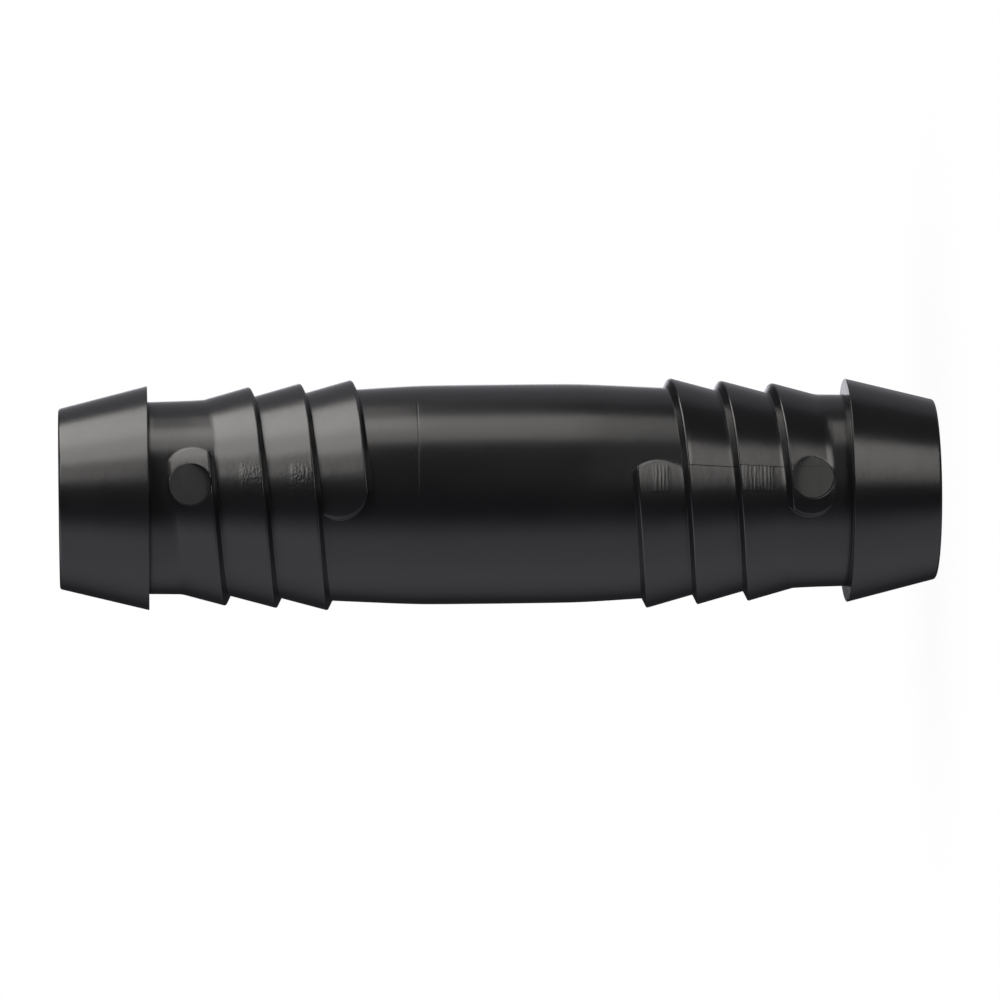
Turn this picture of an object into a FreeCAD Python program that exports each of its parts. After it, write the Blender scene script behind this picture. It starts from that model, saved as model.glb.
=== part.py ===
import FreeCAD, Part
import math
import os

from FreeCAD import Vector

# Straight connector that joins two hoses of 25 mm bore, injection-moulded in one piece.
# Millimetres. It stands on one end: the bore is the Z axis and the lower end face is z = 0.
# The front, -Y, is the side where the helical barbs start and end and where the ejector pins bear.
# Both halves are alike, the upper one turned by 180 degrees about the front-to-back line at mid length,
# apart from the middle end of the ridge, which is rounded in one way below and in another above.

overall_length = 105.0
bore_radius = 9.0
mouth_chamfer = 0.45

# Tip cone: the end that enters the hose first, with a sharp crest and a square back face.
tip_face_radius = 10.78
tip_edge_chamfer = 0.3
tip_cone_length = 10.65
tip_crest_radius = 13.43

# Neck behind the tip cone, then the tapered root that grows to the plain middle panel.
neck_radius = 11.5
neck_end_radius = 11.58
panel_radius = 13.15
panel_length = 19.6
root_taper = 0.0576

# Helical barb: a right-handed ridge with its ramp towards the tip and its steep face towards the middle.
barb_pitch = 6.1
barb_turns = 3
barb_height = 1.15
barb_first_crest = 18.12
barb_foot_draft = 0.35
barb_land = 0.15
barb_crest_land = 0.10
barb_bury = 0.9
barb_back_depth = 1.1

# Rounded ends of the ridge, seen from the front: the arc's radius, how far it reaches past the
# front line, and the distance of its centre from the crest.
end_overrun_deg = 24.5
tip_end_arc = {"radius": 3.35, "reach": 4.5, "from_crest": 2.25}
lower_middle_end_arc = {"radius": 4.55, "reach": 2.25, "from_crest": 2.65}
upper_middle_end_arc = {"radius": 3.3, "reach": 4.4, "from_crest": 3.2}

# Flat round face that the ejector pin leaves on the ridge's tip end.
pin_radius = 2.5
pin_from_crest = 2.55
pin_face_depth = 11.93
pin_boss_root = 10.5

# Working margin of the cutting shapes beyond the moulding's skin.
margin = 3.0

# Worked out from the sizes above.
mid_z = overall_length / 2
panel_start = mid_z - panel_length / 2
ramp_length = barb_pitch - barb_foot_draft - barb_land
ramp_slope = (barb_height + root_taper * ramp_length) / (ramp_length - barb_crest_land)
crest_at_first = panel_radius - root_taper * (panel_start - barb_first_crest) + barb_height
lead_slope = barb_pitch / (2 * math.pi * crest_at_first)
barb_last_crest = barb_first_crest + barb_pitch * barb_turns
crest_at_last = crest_at_first + root_taper * barb_pitch * barb_turns
outer_reach = crest_at_last + margin


def outline_face(points):
    """A flat face in the XZ plane from (radius, height) points."""
    corners = [Vector(r, 0, z) for r, z in points]
    return Part.Face(Part.makePolygon(corners + corners[:1]))


def tail_core():
    """The lower half without its barb: tip cone, neck, tapered root and half of the middle panel."""
    root_meets_neck = panel_start - (panel_radius - neck_end_radius) / root_taper
    cone_slope = (tip_crest_radius - tip_face_radius) / tip_cone_length
    profile = outline_face([
        (0, 0),
        (tip_face_radius - tip_edge_chamfer, 0),
        (tip_face_radius + cone_slope * tip_edge_chamfer, tip_edge_chamfer),
        (tip_crest_radius, tip_cone_length),
        (neck_radius, tip_cone_length),
        (neck_end_radius, root_meets_neck),
        (panel_radius, panel_start),
        (panel_radius, mid_z),
        (0, mid_z),
    ])
    return profile.revolve(Vector(0, 0, 0), Vector(0, 0, 1), 360)


def barb_section(crest_radius):
    """The ridge's section beside the bore line, with its crest at height 0 and its root buried in the core."""
    ramp_run = ramp_length + barb_land / 2
    crest = Vector(crest_radius, 0, 0)
    ramp_end = crest - Vector(ramp_slope * (ramp_run - barb_crest_land), 0, ramp_run)
    back_end = crest + Vector(-barb_height, 0, barb_foot_draft) * barb_back_depth
    deep_radius = crest_radius - barb_height - barb_bury
    deep_low = Vector(deep_radius, 0, -ramp_length + barb_bury)
    deep_high = Vector(deep_radius, 0, -barb_bury)
    crest_low = crest - Vector(0, 0, barb_crest_land)
    return Part.makePolygon([ramp_end, crest_low, crest, back_end, deep_high, deep_low, ramp_end])


def long_ridge():
    """The section swept along a conical helix, with some overrun before the first and after the last crest."""
    overrun_turns = end_overrun_deg / 360
    overrun_rise = overrun_turns * barb_pitch
    start_radius = crest_at_first - root_taper * overrun_rise
    height = barb_pitch * barb_turns + 2 * overrun_rise
    helix = Part.makeLongHelix(barb_pitch, height, start_radius, math.degrees(math.atan(root_taper)))
    sweep = Part.BRepOffsetAPI.MakePipeShell(Part.Wire(helix.Edges))
    sweep.setBiNormalMode(Vector(0, 0, 1))
    sweep.add(barb_section(start_radius))
    sweep.build()
    sweep.makeSolid()
    ridge = sweep.shape()
    ridge.rotate(Vector(0, 0, 0), Vector(0, 0, 1), -90 - end_overrun_deg)
    ridge.translate(Vector(0, 0, barb_first_crest - overrun_rise))
    return ridge


def end_cutter(side, crest_height, crest_radius, arc):
    """What is cut off one end of the ridge, so that the rest ends in an arc when seen from the front.

    side is -1 where the ridge ends towards -X and 1 where it ends towards +X. The cutter is one pitch
    wide, and its two long edges run along the middle of the lands, so that the next turn isn't touched.
    """
    arc_x = side * (arc["reach"] - arc["radius"])
    arc_z = crest_height - arc["from_crest"]
    far_x = side * crest_radius * math.sin(math.radians(end_overrun_deg + 1))
    high_z = crest_height + barb_foot_draft + barb_land / 2
    low_z = high_z - barb_pitch
    block = outline_face([
        (arc_x, high_z + lead_slope * arc_x),
        (far_x, high_z + lead_slope * far_x),
        (far_x, low_z + lead_slope * far_x),
        (arc_x, low_z + lead_slope * arc_x),
    ])
    block.translate(Vector(0, -outer_reach, 0))
    block = block.extrude(Vector(0, outer_reach - pin_boss_root + margin, 0))
    kept = Part.makeCylinder(
        arc["radius"], 2 * outer_reach, Vector(arc_x, -2 * outer_reach, arc_z), Vector(0, 1, 0))
    return block.cut(kept)


def barb(middle_end_arc):
    """The helical ridge with its two rounded ends."""
    tip_end = end_cutter(-1, barb_first_crest, crest_at_first, tip_end_arc)
    middle_end = end_cutter(1, barb_last_crest, crest_at_last, middle_end_arc)
    return long_ridge().cut(tip_end).cut(middle_end)


def pin_mark(solid):
    """The solid with the ejector pin's flat round face on the ridge's tip end."""
    pin_z = barb_first_crest - pin_from_crest
    outside = Part.makeCylinder(
        pin_radius, outer_reach - pin_face_depth, Vector(0, -pin_face_depth, pin_z), Vector(0, -1, 0))
    boss = Part.makeCylinder(
        pin_radius, pin_face_depth - pin_boss_root, Vector(0, -pin_boss_root, pin_z), Vector(0, -1, 0))
    return solid.cut(outside).fuse(boss)


def bore():
    """The straight through bore with a chamfer at both mouths."""
    mouth_radius = bore_radius + mouth_chamfer
    profile = outline_face([
        (0, -margin),
        (mouth_radius + margin, -margin),
        (bore_radius, mouth_chamfer),
        (bore_radius, overall_length - mouth_chamfer),
        (mouth_radius + margin, overall_length + margin),
        (0, overall_length + margin),
    ])
    return profile.revolve(Vector(0, 0, 0), Vector(0, 0, 1), 360)


def tail(middle_end_arc):
    """The lower half of the moulding, still without its bore."""
    return pin_mark(tail_core().fuse(barb(middle_end_arc)))


def connector_body():
    """The whole moulding: two tails joined at mid length, with the bore through both."""
    lower = tail(lower_middle_end_arc)
    upper = tail(upper_middle_end_arc)
    upper.rotate(Vector(0, 0, mid_z), Vector(0, 1, 0), 180)
    body = lower.fuse(upper).removeSplitter().cut(bore())
    return body.Solids[0]


os.makedirs("parts", exist_ok=True)
body = connector_body()
body.exportStep("parts/connector_body.step")
box = body.BoundBox
print("connector_body valid", body.isValid(), "volume", round(body.Volume, 1), "faces", len(body.Faces))
print("box", [round(v, 3) for v in (box.XMin, box.XMax, box.YMin, box.YMax, box.ZMin, box.ZMax)])
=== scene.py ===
import math

import bmesh
import bpy
import numpy as np
from mathutils import Matrix, Vector


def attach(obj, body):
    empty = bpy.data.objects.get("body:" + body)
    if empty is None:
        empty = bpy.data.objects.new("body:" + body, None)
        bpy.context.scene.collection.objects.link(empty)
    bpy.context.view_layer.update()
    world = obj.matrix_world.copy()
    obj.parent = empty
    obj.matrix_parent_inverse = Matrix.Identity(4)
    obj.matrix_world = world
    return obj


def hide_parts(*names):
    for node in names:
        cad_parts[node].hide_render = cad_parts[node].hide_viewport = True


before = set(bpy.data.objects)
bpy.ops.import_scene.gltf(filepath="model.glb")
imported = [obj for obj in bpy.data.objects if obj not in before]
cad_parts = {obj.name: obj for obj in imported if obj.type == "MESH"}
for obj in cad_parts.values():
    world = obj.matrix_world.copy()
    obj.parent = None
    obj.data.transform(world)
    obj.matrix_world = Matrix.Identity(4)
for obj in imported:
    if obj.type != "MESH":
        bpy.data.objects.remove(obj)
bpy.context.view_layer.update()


# The connector: a black hose joint, injection-moulded in one piece of satin polypropylene.
# It stands on one tail, its bore upright. The two tails are alike, turned by half a turn about
# the front-to-back line at mid length, and each carries three turns of a helical barb.

MM = 0.001
LENGTH = 105.0
MID = LENGTH / 2

BORE = 9.0
BORE_ROWS = (MID, 34.0, 16.0, 3.0)
MOUTH_CHAMFER = 0.45

TIP_RADIUS = 10.78
TIP_ROUND = 0.35
TIP_CREST = 13.43
TIP_LENGTH = 10.65
TIP_CREST_ROUND = 0.07
TIP_FOOT_ROUND = 0.03

NECK = 11.5
NECK_END = 11.58
NECK_RUN = 4.8
TAPER = 0.0576
ROOT_BLEND = 0.05
PANEL = 13.15
PANEL_START = 42.7
PANEL_BLEND = 0.14

PITCH = 6.1
FIRST_CREST = 18.12
BARB_HEIGHT = 1.15
RAMP = 5.42
CREST_ROUND = 0.26
CREST_CORNER = 0.040
STEEP_RUN = 0.56
FOOT_ROUND = 0.06

# Rounded ends of the barb seen from the front: radius, reach past the front line, centre below the crest.
TIP_END = {"radius": 3.35, "reach": 4.5, "below": 2.25}
LOWER_END = {"radius": 4.55, "reach": 2.25, "below": 2.65}
UPPER_END = {"radius": 3.3, "reach": 4.4, "below": 3.2}
WALL_FOOT = 0.10
WALL_TOP = 0.08

# The pin's face: its tool bites from well outside down to the plane, and the boss under the face is a
# little narrower and lower, so that no two walls of the tools lie in one place. The phase turns the
# tools' corners away from the grid's lines.
PIN_RADIUS = 2.5
PIN_BELOW_CREST = 2.55
PIN_HEIGHTS = (FIRST_CREST - PIN_BELOW_CREST, LENGTH - FIRST_CREST + PIN_BELOW_CREST)
PIN_PLANE = 11.93
PIN_OUTSIDE = 16.0
BOSS_ROOT = 10.4
BOSS_INSET = 0.012
BOSS_DROP = 0.004
PIN_SIDES = 96
PIN_PHASE = 0.37

# The grid: columns at the sides, at the front and across an end wall, where the end walls stand in the
# plain rows as a share of a turn, and rows held close beside an edge so that its shading stays narrow.
# Points closer than WELD are joined, edges shorter than CRUMB go, and edges past SHARP degrees stay sharp.
SIDE_COLUMNS = 72
FRONT_COLUMNS = 26
WALL_COLUMNS = 6
PLAIN_WALL = 0.045
FIRST_WALL = -0.046
HOLD = 0.02
MOUTH_HOLD = 0.03
MOUTH_NEAR = 0.04
MOUTH_FAR = 0.15
LAND_HOLD = 0.008
WELD = 1e-3
CRUMB = 5e-4
SHARP = 32.0


def rounded(before, corner, after, radius, count):
    """The arc that rounds a corner between two straight lines, as points from the first line to the second."""
    before, corner, after = np.array(before), np.array(corner), np.array(after)
    inward, outward = before - corner, after - corner
    inward, outward = inward / np.linalg.norm(inward), outward / np.linalg.norm(outward)
    half = math.acos(inward @ outward) / 2
    middle = (inward + outward) / np.linalg.norm(inward + outward)
    centre = corner + middle * radius / math.sin(half)
    first = corner + inward * radius / math.tan(half) - centre
    last = corner + outward * radius / math.tan(half) - centre
    share = np.linspace(0, 1, count)[:, None]
    swing = math.pi - 2 * half
    return centre + (first * np.sin((1 - share) * swing) + last * np.sin(share * swing)) / math.sin(swing)


def eased(count):
    """Shares from 0 to 1 whose steps are a little shorter in the middle than near the ends."""
    share = np.linspace(0, 1, count)
    return share + 0.05 * np.sin(2 * np.pi * share)


def turn_profile():
    """One turn of the barb as (offset along the bore from its crest, height over the root).

    A straight ramp, a rounded crest, a steep back face, a rounded foot and a short land.
    """
    start, top, foot_corner = (-RAMP, 0.0), (0.0, BARB_HEIGHT + CREST_CORNER), (STEEP_RUN, 0.0)
    crest = rounded(start, top, foot_corner, CREST_ROUND, 7)
    ramp_run = RAMP + crest[0, 0]
    along_ramp = np.concatenate([[0.0, HOLD], ramp_run * eased(15)[1:-1], [ramp_run - HOLD]])
    ramp = np.stack([along_ramp - RAMP, crest[0, 1] * along_ramp / ramp_run], axis=1)
    foot = rounded(top, foot_corner, (PITCH - RAMP, 0.0), FOOT_ROUND, 7)
    back = crest[-1] + (foot[0] - crest[-1]) * np.array([0.03, 0.97])[:, None]
    land = foot[-1:] + (LAND_HOLD, 0.0)
    return np.concatenate([ramp, crest, back, foot, land])


def tip_profile():
    """The plain rings from the bore round the mouth and the tip cone to the neck, as (radius, height)."""
    mouth_radius = BORE + MOUTH_CHAMFER
    bore = np.array([(BORE, height) for height in BORE_ROWS + (MOUTH_CHAMFER + MOUTH_FAR,)])
    mouth = np.array([(BORE, MOUTH_CHAMFER + MOUTH_HOLD), (BORE + MOUTH_HOLD, MOUTH_CHAMFER - MOUTH_HOLD),
                      (mouth_radius - MOUTH_HOLD, MOUTH_HOLD), (mouth_radius + MOUTH_NEAR, 0.0)])
    corner, top = (TIP_RADIUS, 0.0), (TIP_CREST, TIP_LENGTH)
    rim = rounded((BORE, 0.0), corner, top, TIP_ROUND, 7)
    face = np.array([(mouth_radius + MOUTH_FAR, 0.0), (rim[0, 0] - MOUTH_HOLD, 0.0)])
    crest = rounded(corner, top, (NECK, TIP_LENGTH), TIP_CREST_ROUND, 6)
    share = np.concatenate([[0.004], eased(14)[1:-1], [0.996]])
    cone = rim[-1] + (crest[0] - rim[-1]) * share[:, None]
    foot = rounded(top, (NECK, TIP_LENGTH), (NECK, PANEL_START), TIP_FOOT_ROUND, 5)
    back = np.array([(crest[-1, 0] - HOLD, TIP_LENGTH), (foot[0, 0] + HOLD, TIP_LENGTH)])
    neck = np.array([(NECK, TIP_LENGTH + TIP_FOOT_ROUND + HOLD)])
    return np.concatenate([bore, mouth, face, rim, cone, crest, back, foot, neck])


def root_radius(height):
    """What the barb stands on: a taper that grows towards the middle and meets the panel in a soft bend."""
    root = PANEL - TAPER * (PANEL_START - height)
    return (root + PANEL - np.sqrt((root - PANEL) ** 2 + PANEL_BLEND ** 2)) / 2


def core_radius(height):
    """The tail without its barb: the larger of the neck and the root, with a soft bend where they meet."""
    neck = np.minimum(NECK + (height - TIP_LENGTH) * (NECK_END - NECK) / NECK_RUN, NECK_END)
    root = root_radius(height)
    return (neck + root + np.sqrt((neck - root) ** 2 + ROOT_BLEND ** 2)) / 2


def end_line(arc, side, crest, height):
    """How far sideways the barb's rounded end lies at a height: the arc's centre plus its half chord."""
    centre = side * (arc["reach"] - arc["radius"])
    rise = height - (crest - arc["below"])
    return centre + side * np.sqrt(np.maximum(arc["radius"] ** 2 - rise ** 2, 0.0))


def end_wall(arc, side, slot, offset, rise):
    """The columns across the barb's rounded end: a rounded foot outside, the wall, and a rounded top edge.

    For each row, returned from the outside in: share of the turn, height along the bore, and radius.
    The end line and the helix depend on each other, so they are worked out in a few rounds.
    """
    crest = FIRST_CREST + PITCH * slot
    turn = np.full_like(offset, side * 0.03)
    for _ in range(8):
        height = crest + PITCH * turn + offset
        sideways = end_line(arc, side, crest, height)
        top = root_radius(height) + rise
        turn = 0.6 * turn + 0.4 * np.arcsin(sideways / top) / (2 * np.pi)
    height = crest + PITCH * turn + offset
    sideways = end_line(arc, side, crest, height)
    core = core_radius(height)
    wall = np.maximum(root_radius(height) + rise - core, 0.0)
    foot = np.minimum(WALL_FOOT, 0.4 * wall)
    top = np.minimum(WALL_TOP, 0.4 * wall)
    bend = np.radians([0.0, 45.0, 90.0])
    out = np.concatenate([
        -foot[:, None] * (1 - np.sin(bend)), top[:, None] * (1 - np.cos(bend))], axis=1)
    up = np.concatenate([
        foot[:, None] * (1 - np.cos(bend)), wall[:, None] - top[:, None] * (1 - np.sin(bend))], axis=1)
    radius = core[:, None] + up
    turns = np.arcsin((sideways[:, None] - side * out) / radius) / (2 * np.pi)
    return turns, np.repeat(height[:, None], WALL_COLUMNS, axis=1), radius


def graded(start, stop, count, finer_at_stop):
    """Columns between two anchors of every row, closer together towards one of them."""
    share = np.linspace(0, 1, count)
    share = 1 - (1 - share) ** 1.35 if finer_at_stop else share ** 1.35
    return start[:, None] + (stop - start)[:, None] * share


def spread_columns(left, right):
    """Every row's columns: sparse round the back, close together at the front, between its two end walls."""
    half = np.full(len(left), 0.5)
    share = np.linspace(0, 1, FRONT_COLUMNS + 2)[1:-1]
    front = left[:, -1:] + (right[:, :1] - left[:, -1:]) * share
    return np.concatenate([
        graded(-half, left[:, 0], SIDE_COLUMNS, True)[:, :-1], left,
        front, right, graded(right[:, -1], half, SIDE_COLUMNS, False)[:, 1:]], axis=1)


def tail_grid(middle_end):
    """A tail's skin on a grid of rows by columns, as share of a turn from the front, height and radius.

    The rows follow the helix: on it the height is the first crest's, plus a pitch for each slot and for
    each whole turn, plus the offset of the barb's profile. Four slots cover the three turns, and where
    the first and the last hold no barb their rows draw together to one line at the back.
    """
    plain = tip_profile()
    profile = turn_profile()
    offset, rise = profile[:, 0], profile[:, 1]
    rows = len(offset)
    wall = np.ones((1, WALL_COLUMNS))
    first = wall * FIRST_WALL
    last = wall * end_wall(middle_end, 1, 3, offset[:1], rise[:1])[0][0, 0]
    calm = spread_columns(wall * -PLAIN_WALL, wall * PLAIN_WALL)[0]
    left_block, right_block = SIDE_COLUMNS - 1, len(calm) - SIDE_COLUMNS + 1

    turns, heights, radii = [], [], []
    for slot in range(4):
        left, right = np.repeat(first, rows, 0), np.repeat(last, rows, 0)
        if slot == 0:
            left, left_height, left_radius = end_wall(TIP_END, -1, slot, offset, rise)
        if slot == 3:
            right, right_height, right_radius = end_wall(middle_end, 1, slot, offset, rise)
            right, right_height, right_radius = right[:, ::-1], right_height[:, ::-1], right_radius[:, ::-1]
        turn = spread_columns(left, right)
        height = FIRST_CREST + PITCH * (slot + turn) + offset[:, None]
        radius = np.maximum(core_radius(height), root_radius(height) + rise[:, None])
        if slot == 0:
            away = ((left[:, :1] - turn) / (left[:, :1] + 0.5))[:, :left_block]
            meeting = FIRST_CREST + PITCH / 2 - RAMP
            height[:, :left_block] = left_height[:, :1] + (meeting - left_height[:, :1]) * away
            height[:, left_block:left_block + WALL_COLUMNS] = left_height
            radius[:, :left_block] = core_radius(height[:, :left_block])
            radius[:, left_block:left_block + WALL_COLUMNS] = left_radius
        if slot == 3:
            away = ((turn - right[:, -1:]) / (0.5 - right[:, -1:]))[:, right_block:]
            meeting = FIRST_CREST + PITCH * 2.5 + offset[-1]
            height[:, right_block:] = right_height[:, -1:] + (meeting - right_height[:, -1:]) * away
            height[:, right_block - WALL_COLUMNS:right_block] = right_height
            radius[:, right_block:] = core_radius(height[:, right_block:])
            radius[:, right_block - WALL_COLUMNS:right_block] = right_radius
        turns.append(turn)
        heights.append(height)
        radii.append(radius)
    turns, heights, radii = (np.concatenate(part) for part in (turns, heights, radii))

    step = np.array([0.0, 0.35, 0.7])[:, None]
    neck_height = plain[-1, 1] + (heights[0] - plain[-1, 1]) * step
    neck_turn = calm + (turns[0] - calm) * step
    panel_step = np.array([0.12, 0.3, 0.5, 0.7, 0.85, 1.0])[:, None]
    panel_height = heights[-1] + (PANEL_START - heights[-1]) * panel_step
    panel_turn = turns[-1] + (calm - turns[-1]) * panel_step
    wide = np.ones_like(calm)
    middle = np.array([PANEL_START + 0.6, PANEL_START + 1.6, PANEL_START + 3.5, MID])[:, None] * wide
    turn = np.concatenate([np.tile(calm, (len(plain) - 1, 1)), neck_turn, turns, panel_turn,
                           np.tile(calm, (len(middle), 1))])
    height = np.concatenate([plain[:-1, 1:] * wide, neck_height, heights, panel_height, middle])
    radius = np.concatenate([plain[:-1, :1] * wide, core_radius(neck_height), radii,
                             core_radius(panel_height), core_radius(middle)])
    return turn, height, radius


def grid_mesh(turn, height, radius, first_index):
    """Points and outward quads of a grid: radius times sine and cosine of the turn, and the height."""
    angle = 2 * np.pi * turn
    points = np.stack([radius * np.sin(angle), -radius * np.cos(angle), height], axis=-1)
    rows, columns = turn.shape
    index = first_index + np.arange(rows * columns).reshape(rows, columns)
    quads = np.stack([index[:-1, :-1], index[:-1, 1:], index[1:, 1:], index[1:, :-1]], axis=-1)
    return points.reshape(-1, 3), quads.reshape(-1, 4)


def moulding_mesh():
    """Both tails as one closed skin in mm; the upper one is the lower one's grid turned half a turn about Y."""
    lower, lower_quads = grid_mesh(*tail_grid(LOWER_END), 0)
    upper, upper_quads = grid_mesh(*tail_grid(UPPER_END), len(lower))
    upper = upper * (-1, 1, -1) + (0, 0, LENGTH)
    mesh = bpy.data.meshes.new("connector_skin")
    mesh.from_pydata(np.concatenate([lower, upper]), [], np.concatenate([lower_quads, upper_quads]).tolist())
    work = bmesh.new()
    work.from_mesh(mesh)
    bmesh.ops.remove_doubles(work, verts=work.verts, dist=WELD)
    bmesh.ops.dissolve_degenerate(work, edges=work.edges, dist=CRUMB)
    bmesh.ops.recalc_face_normals(work, faces=work.faces)
    work.to_mesh(mesh)
    work.free()
    return mesh


def pin_tool(name, radius, near, far, height):
    """A round bar along Y between two depths in front of the bore line, to cut or raise a pin's face."""
    here = np.arange(PIN_SIDES)
    after = (here + 1) % PIN_SIDES
    angle = 2 * np.pi * (here + PIN_PHASE) / PIN_SIDES
    ring = np.stack([radius * np.cos(angle), 0 * angle, height + radius * np.sin(angle)], axis=1)
    points = np.concatenate([ring - (0, near, 0), ring - (0, far, 0)])
    sides = np.stack([here, here + PIN_SIDES, after + PIN_SIDES, after], axis=1).tolist()
    mesh = bpy.data.meshes.new(name)
    mesh.from_pydata(points, [], sides + [here.tolist(), (here + PIN_SIDES)[::-1].tolist()])
    work = bmesh.new()
    work.from_mesh(mesh)
    bmesh.ops.recalc_face_normals(work, faces=work.faces)
    work.to_mesh(mesh)
    work.free()
    bar = bpy.data.objects.new(name, mesh)
    bpy.context.scene.collection.objects.link(bar)
    return bar


connector = bpy.data.objects.new("connector", moulding_mesh())
bpy.context.scene.collection.objects.link(connector)

pin_tools = []
for pin_height in PIN_HEIGHTS:
    facing = pin_tool("pin_facing", PIN_RADIUS, PIN_PLANE, PIN_OUTSIDE, pin_height)
    boss = pin_tool("pin_boss", PIN_RADIUS - BOSS_INSET, BOSS_ROOT, PIN_PLANE - BOSS_DROP, pin_height)
    for bar, way in ((facing, "DIFFERENCE"), (boss, "UNION")):
        fit = connector.modifiers.new(bar.name, "BOOLEAN")
        fit.object, fit.operation, fit.solver = bar, way, "EXACT"
        pin_tools.append(bar)
skin = bpy.data.meshes.new_from_object(connector.evaluated_get(bpy.context.evaluated_depsgraph_get()))
connector.modifiers.clear()
connector.data = skin
skin.name = "connector"
skin.transform(Matrix.Scale(MM, 4))
for bar in pin_tools:
    bpy.data.objects.remove(bar)
skin.polygons.foreach_set("use_smooth", np.ones(len(skin.polygons), dtype=bool))
skin.set_sharp_from_angle(angle=math.radians(SHARP))


class Level:
    """A node's output that is reckoned with like a number: each sum or product adds a Math node."""

    def __init__(self, socket):
        self.socket = socket

    def join(self, operation, first, second):
        return node(self.socket.id_data, "ShaderNodeMath", {"operation": operation}, {0: first, 1: second})

    def __add__(self, other):
        return self.join("ADD", self, other)

    def __radd__(self, other):
        return self.join("ADD", other, self)

    def __sub__(self, other):
        return self.join("SUBTRACT", self, other)

    def __rsub__(self, other):
        return self.join("SUBTRACT", other, self)

    def __mul__(self, other):
        return self.join("MULTIPLY", self, other)

    def __rmul__(self, other):
        return self.join("MULTIPLY", other, self)


def node(tree, kind, settings=None, inputs=None, output=0):
    """Adds a node, gives it its settings, then its sockets' values or links, and returns one output."""
    made = tree.nodes.new(kind)
    for name, value in (settings or {}).items():
        setattr(made, name, value)
    for name, value in (inputs or {}).items():
        if isinstance(value, Level):
            tree.links.new(value.socket, made.inputs[name])
        else:
            made.inputs[name].default_value = value
    return Level(made.outputs[output]) if made.outputs else made


def rising(tree, value, start, stop):
    """0 below start, 1 above stop, and a smooth rise between; with start above stop it falls instead."""
    low, high, first, last = (start, stop, 0.0, 1.0) if start < stop else (stop, start, 1.0, 0.0)
    return node(tree, "ShaderNodeMapRange", {"interpolation_type": "SMOOTHSTEP"},
                {"Value": value, "From Min": low, "From Max": high, "To Min": first, "To Max": last})


def band(tree, value, low, high, soft):
    """1 from low to high, with a smooth rise and fall of twice the soft width centred on either end."""
    return rising(tree, value - low, -soft, soft) * rising(tree, value - high, soft, -soft)


# What the mould leaves on the front: a strip of insert steel with turning marks and a step at its edge, the
# rims of the pins' faces, and a fine ring where each tail meets the panel. The strip and the parting line
# are given in degrees from the front line, and the rest in mm along the bore.

STRIP = {"left": -7.5, "right": 6.3}
UPPER_STRIP = 9.5
MARK_SPACING = 0.45
LOWER_MARKS = ((20.2, 23.8), (32.6, 34.5))
UPPER_MARKS = ((74.8, 77.4), (80.8, 83.4))
STEP_SPAN = (13.1, 30.3)
UPPER_RING = (62.2, 62.34)
LOWER_RING = (42.66, 42.74)
PARTING = 90.0

# The plastic's two blacks, a grey for the lower pin's face that is partly its own duller tone and partly
# painted reflection, and the roughness of skin and faces.
BLACKS = ((0.0068, 0.0071, 0.0081, 1.0), (0.0082, 0.0083, 0.0092, 1.0))
PIN_GREY_AND_SHEEN = (0.034, 0.035, 0.034, 1.0)
SATIN = 0.225
DULL_FACE = 0.42
MICROMETRE = 1e-6


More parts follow.
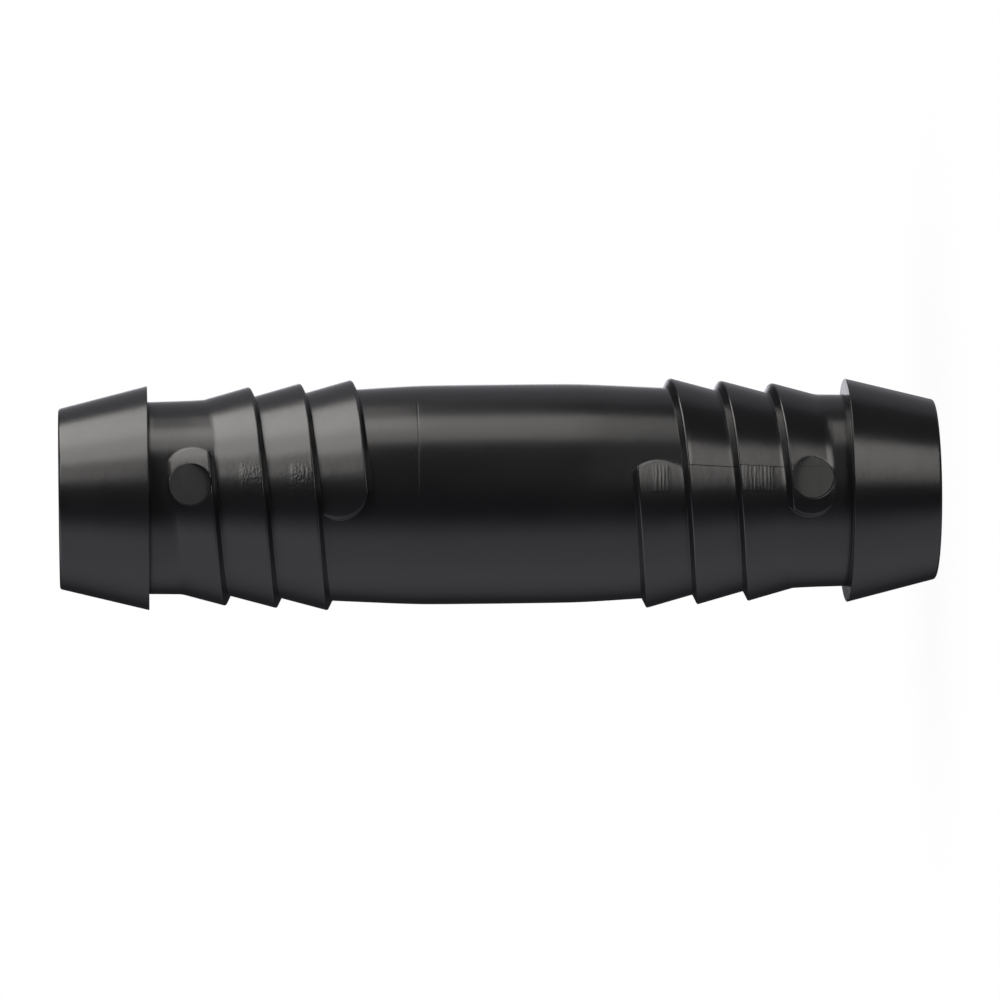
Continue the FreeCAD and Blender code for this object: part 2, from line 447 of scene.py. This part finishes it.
def black_polypropylene():
    """Black satin plastic with the mould's traces: relief in micrometres, dull faces left by the pins, and a
    lighter grey on the lower pin's face that is partly painted reflection.
    """
    material = bpy.data.materials.new("black_polypropylene")
    material.use_nodes = True
    tree = material.node_tree
    tree.nodes.clear()
    place = node(tree, "ShaderNodeTexCoord", output="Object")
    parts = node(tree, "ShaderNodeSeparateXYZ", {}, {0: place}).socket.node.outputs
    across, depth, along_bore = (Level(part) * 1000 for part in parts)
    turned = node(tree, "ShaderNodeMath", {"operation": "ARCTAN2"},
                  {0: across, 1: -1 * depth}) * math.degrees(1)
    facing = rising(tree, depth, -6.0, -8.0)
    flat = node(tree, "ShaderNodeVectorMath", {"operation": "MULTIPLY"},
                {0: place, 1: (1, 0, 1)}, output="Vector")

    def noise(vector, scale, detail):
        """Soft noise around one half, with a cell of one over the scale."""
        return node(tree, "ShaderNodeTexNoise", {}, {"Vector": vector, "Scale": scale, "Detail": detail})

    cloud = noise(place, 140.0, 3.0)
    swell = noise(place, 320.0, 1.0)
    fleck = noise(place, 1500.0, 1.0)
    grain = noise(place, 2600.0, 2.0)

    disc, rim = 0, 0
    for height in PIN_HEIGHTS:
        reach = node(tree, "ShaderNodeVectorMath", {"operation": "DISTANCE"},
                     {0: flat, 1: (0, 0, height * MM)}, output="Value") * 1000
        disc = facing * rising(tree, reach, PIN_RADIUS - 0.04, PIN_RADIUS - 0.1) + disc
        rim = facing * band(tree, reach, PIN_RADIUS + 0.02, PIN_RADIUS + 0.1, 0.06) + rim
    upper = rising(tree, along_bore, MID - 1, MID + 1)
    crisp_strip = band(tree, turned, STRIP["left"], STRIP["right"], 0.5)
    soft_strip = band(tree, turned, STRIP["left"], UPPER_STRIP, 3.0)
    strip = facing * (crisp_strip * (1 - upper) + soft_strip * upper)
    marks = 0
    for low, high in LOWER_MARKS + UPPER_MARKS:
        marks = band(tree, along_bore, low, high, 0.3) + marks
    marks = marks * strip * (1 + 0.7 * upper)
    wave = node(tree, "ShaderNodeMath", {"operation": "SINE"},
                {0: (along_bore + 0.25 * fleck) * (2 * math.pi / MARK_SPACING)})
    runs = node(tree, "ShaderNodeCombineXYZ", {}, {
        "X": (0.08 + 0.42 * upper) * turned, "Y": 3.2 * along_bore}, output="Vector")
    stroke = noise(runs, 1.0, 1.0)
    step = rising(tree, turned, STRIP["right"] - 0.3, STRIP["right"] + 0.3) * rising(tree, turned, 45, 20)
    step = facing * band(tree, along_bore, *STEP_SPAN, 0.4) * step
    rings = (band(tree, along_bore, *UPPER_RING, 0.08) * rising(tree, turned, -11, -6)
             + 0.35 * band(tree, along_bore, *LOWER_RING, 0.08) * rising(tree, turned, 20, 26))
    rings = rings * facing * rising(tree, turned, 52, 44)
    seam = node(tree, "ShaderNodeMath", {"operation": "ABSOLUTE"}, {0: turned})
    seam = band(tree, seam, PARTING - 0.25, PARTING + 0.25, 0.3)

    relief = (14.0 * swell + 3.5 * fleck + 0.6 * grain
              + marks * ((2.0 - 1.1 * upper) * wave + 17.0 * stroke) + strip * (3.0 * fleck)
              + 30.0 * step - 16.0 * rings - 14.0 * rim + 8.0 * seam)
    bump = node(tree, "ShaderNodeBump", {}, {"Strength": 1.0, "Distance": MICROMETRE, "Height": relief},
                output="Normal")
    tone = node(tree, "ShaderNodeMix", {"data_type": "RGBA"}, {
        "Factor": rising(tree, cloud, 0.35, 0.65), 6: BLACKS[0], 7: BLACKS[1]}, output=2)
    # The lower pin's face is tinted a lighter grey: partly its own duller tone, partly painted reflection.
    tone_with_pin_sheen = node(tree, "ShaderNodeMix", {"data_type": "RGBA"}, {
        "Factor": disc * (1 - upper), 6: tone, 7: PIN_GREY_AND_SHEEN}, output=2)
    shader = node(tree, "ShaderNodeBsdfPrincipled", {}, {
        "Base Color": tone_with_pin_sheen, "Roughness": SATIN + 0.05 * cloud + DULL_FACE * disc, "Normal": bump, "IOR": 1.5})
    node(tree, "ShaderNodeOutputMaterial", {}, {"Surface": shader})
    return material


connector.data.materials.clear()
connector.data.materials.append(black_polypropylene())
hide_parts("connector_body")
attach(connector, "root")


# The studio, as seen in the picture, where the part lies on its side with its top to the left: soft lamps over
# it, a white sheet under it, and a dim ceiling and a white wall behind. Lift is the angle about the bore line
# from the camera towards the picture's top, and lean the angle towards the picture's right.

PART_TURN = math.radians(7.6)
TO_CAMERA = Vector((-math.sin(PART_TURN), -math.cos(PART_TURN), 0.0))
PICTURE_UP = Vector((math.cos(PART_TURN), -math.sin(PART_TURN), 0.0))
PICTURE_RIGHT = Vector((0.0, 0.0, -1.0))
CENTRE = Vector((0.0, 0.0, MID * MM))


def direction(lift, lean):
    """The unit vector from the part at these two angles, in degrees."""
    lift, lean = math.radians(lift), math.radians(lean)
    return (PICTURE_RIGHT * math.sin(lean)
            + (PICTURE_UP * math.sin(lift) + TO_CAMERA * math.cos(lift)) * math.cos(lean))


def soft_lamp(name, lift, lean, tall, wide, radiance, distance=2.0):
    """A rectangular lamp facing the part, of angular height and width. Its power is pi * radiance * area."""
    away = direction(lift, lean)
    upward = direction(lift + 90, 0)
    sideways = away.cross(upward)
    height = 2 * distance * math.tan(math.radians(tall) / 2)
    width = 2 * distance * math.tan(math.radians(wide) / 2)
    lamp = bpy.data.lights.new(name, "AREA")
    lamp.shape, lamp.size, lamp.size_y = "RECTANGLE", width, height
    lamp.energy = math.pi * radiance * width * height
    lamp.color = (1.0, 0.975, 0.94)
    stand = bpy.data.objects.new(name, lamp)
    turned = Matrix((sideways.normalized() * -1, upward, away)).transposed()
    stand.matrix_world = Matrix.Translation(CENTRE + away * distance) @ turned.to_4x4()
    stand.visible_camera = False
    bpy.context.scene.collection.objects.link(stand)


soft_lamp("long_bank", 80, -28.5, 60, 17, 5.2)
soft_lamp("key_lamp", 92, -20, 38, 36, 2.0)
soft_lamp("fill_lamp", 74, -2, 32, 26, 2.6, 0.7)
soft_lamp("left_lamp", 38, -38, 25, 15, 6.2)
soft_lamp("right_lamp", 33, 27, 42, 12, 5.8)

DARK_ROOM = 0.03
SHEET_LIGHT = 0.73
WALL_LIGHT = 1.9
world = bpy.data.worlds.new("studio")
bpy.context.scene.world = world
world.use_nodes = True
tree = world.node_tree
tree.nodes.clear()
ray = node(tree, "ShaderNodeTexCoord", output="Generated")


def along(axis):
    """How far a ray points along an axis: their dot product."""
    return node(tree, "ShaderNodeVectorMath", {"operation": "DOT_PRODUCT"}, {0: ray, 1: axis}, output="Value")


lift = node(tree, "ShaderNodeMath", {"operation": "ARCTAN2"},
            {0: along(PICTURE_UP), 1: along(TO_CAMERA)}) * math.degrees(1)
side = along(PICTURE_RIGHT)
sheet = rising(tree, lift, -18, -52) * rising(tree, lift, -150, -85)
ceiling = rising(tree, lift, 106, 118) * (0.26 + 0.12 * rising(tree, lift, 146, 158))
far = rising(tree, lift, 164, 170)
wall = rising(tree, side, -0.20, -0.15) * rising(tree, side, 0.14, 0.08)
open_side = rising(tree, side, -0.40, -0.22)
room = (DARK_ROOM + SHEET_LIGHT * sheet * (1 + 0.9 * rising(tree, side, -0.45, -0.53))
        + ceiling * open_side * (1 - far) + WALL_LIGHT * far * wall)
seen = node(tree, "ShaderNodeLightPath", output="Is Camera Ray")
strength = seen + (1 - seen) * room
tint = node(tree, "ShaderNodeMix", {"data_type": "RGBA"}, {
    "Factor": seen, 6: (0.98, 0.96, 1.05, 1.0), 7: (1.0, 1.0, 1.0, 1.0)}, output=2)
shine = node(tree, "ShaderNodeBackground", {}, {"Color": tint, "Strength": strength})
node(tree, "ShaderNodeOutputWorld", {}, {"Surface": shine})


# The table: a matt white sheet under the part. What the camera sees of it is mostly plain white, and
# near the part a share is lit, so that the part's soft shadow stays.

TABLE_RADIUS = 4.0
TABLE_SIDES = 64
LIT_SHARE = 0.05
LIT_REACH = 0.06
angle = 2 * np.pi * np.arange(TABLE_SIDES) / TABLE_SIDES
mesh = bpy.data.meshes.new("table")
mesh.from_pydata(np.stack([TABLE_RADIUS * np.cos(angle), TABLE_RADIUS * np.sin(angle), 0 * angle], axis=1),
                 [], [list(range(TABLE_SIDES))])
table = bpy.data.objects.new("table", mesh)
bpy.context.scene.collection.objects.link(table)
material = bpy.data.materials.new("white_table")
material.use_nodes = True
tree = material.node_tree
tree.nodes.clear()
lit = node(tree, "ShaderNodeBsdfDiffuse", {}, {"Color": (0.86, 0.86, 0.86, 1)})
white = node(tree, "ShaderNodeEmission", {}, {"Color": (1, 1, 1, 1), "Strength": 1.0})
seen = node(tree, "ShaderNodeLightPath", output="Is Camera Ray")
place = node(tree, "ShaderNodeTexCoord", output="Object")
away = node(tree, "ShaderNodeVectorMath", {"operation": "LENGTH"}, {0: place}, output="Value")
plain = 1 - LIT_SHARE * rising(tree, away, LIT_REACH, PANEL * MM)
node(tree, "ShaderNodeOutputMaterial", {}, {
    "Surface": node(tree, "ShaderNodeMixShader", {}, {0: plain * seen, 1: lit, 2: white})})
table.data.materials.append(material)
table.visible_glossy = table.visible_diffuse = table.visible_shadow = False


# The camera: level, a metre in front of the part and a little towards the picture's left, and rolled
# so that the upright part lies across the picture.

LENS = 300.5
DISTANCE = 1.0
AIM_HEIGHT = 52.2 * MM
AIM_BELOW = 0.71 * MM
CAMERA_LEFT = 45.6 * MM
ROLL = math.radians(0.65)

aim = Vector((0.0, 0.0, AIM_HEIGHT)) - PICTURE_UP * AIM_BELOW
spot = aim + TO_CAMERA * DISTANCE - PICTURE_RIGHT * CAMERA_LEFT
back = (spot - aim).normalized()
up = PICTURE_UP * math.cos(ROLL) + PICTURE_RIGHT * math.sin(ROLL)
right = up.cross(back).normalized()
up = back.cross(right)
lens = bpy.data.cameras.new("camera")
lens.lens, lens.sensor_width = LENS, 36.0
lens.clip_start, lens.clip_end = 0.05, 50.0
camera = bpy.data.objects.new("camera", lens)
camera.matrix_world = Matrix.Translation(spot) @ Matrix((right, up, back)).transposed().to_4x4()
bpy.context.scene.collection.objects.link(camera)
bpy.context.scene.camera = camera
bpy.context.scene.view_settings.view_transform = "Standard"
